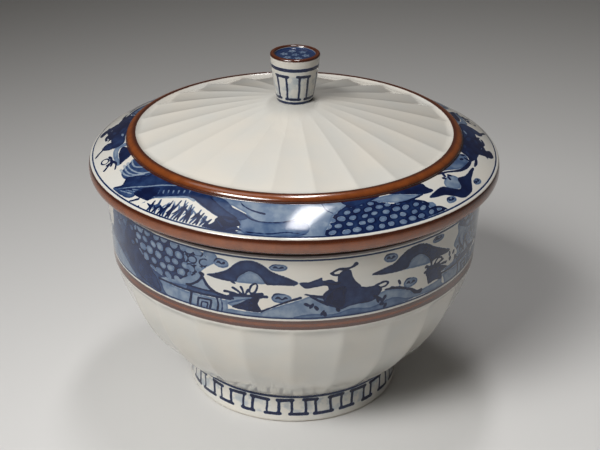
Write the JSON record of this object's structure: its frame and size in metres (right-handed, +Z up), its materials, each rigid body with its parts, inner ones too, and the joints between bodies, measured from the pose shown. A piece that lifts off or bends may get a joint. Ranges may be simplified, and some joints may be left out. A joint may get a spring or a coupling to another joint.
{
  "type": "lidded rice bowl",
  "caption": "Lidded porcelain rice bowl on a foot ring, with an overhanging painted lid, a fluted dome and a small flared knob.",
  "frame": {"origin": "centre of the foot ring's underside, the plane that the bowl stands on", "axes": "+Z up along the axis that the bowl and lid are turned about; +Y is the side away from the viewer of the main painted scene"},
  "size_m": [0.125, 0.125, 0.1086],
  "materials": {
    "glazed_porcelain": "glossy"
  },
  "bodies": {
    "bowl": {"bowl_body": "glazed_porcelain", "foot_ring": "glazed_porcelain"},
    "lid": {"lid_shell": "glazed_porcelain", "lid_knob": "glazed_porcelain"}
  },
  "joints": [
    {"name": "lid_lift", "type": "slide", "parent": "bowl", "child": "lid", "axis": [0, 0, 1], "range_m": [0, 0.12]}
  ]
}
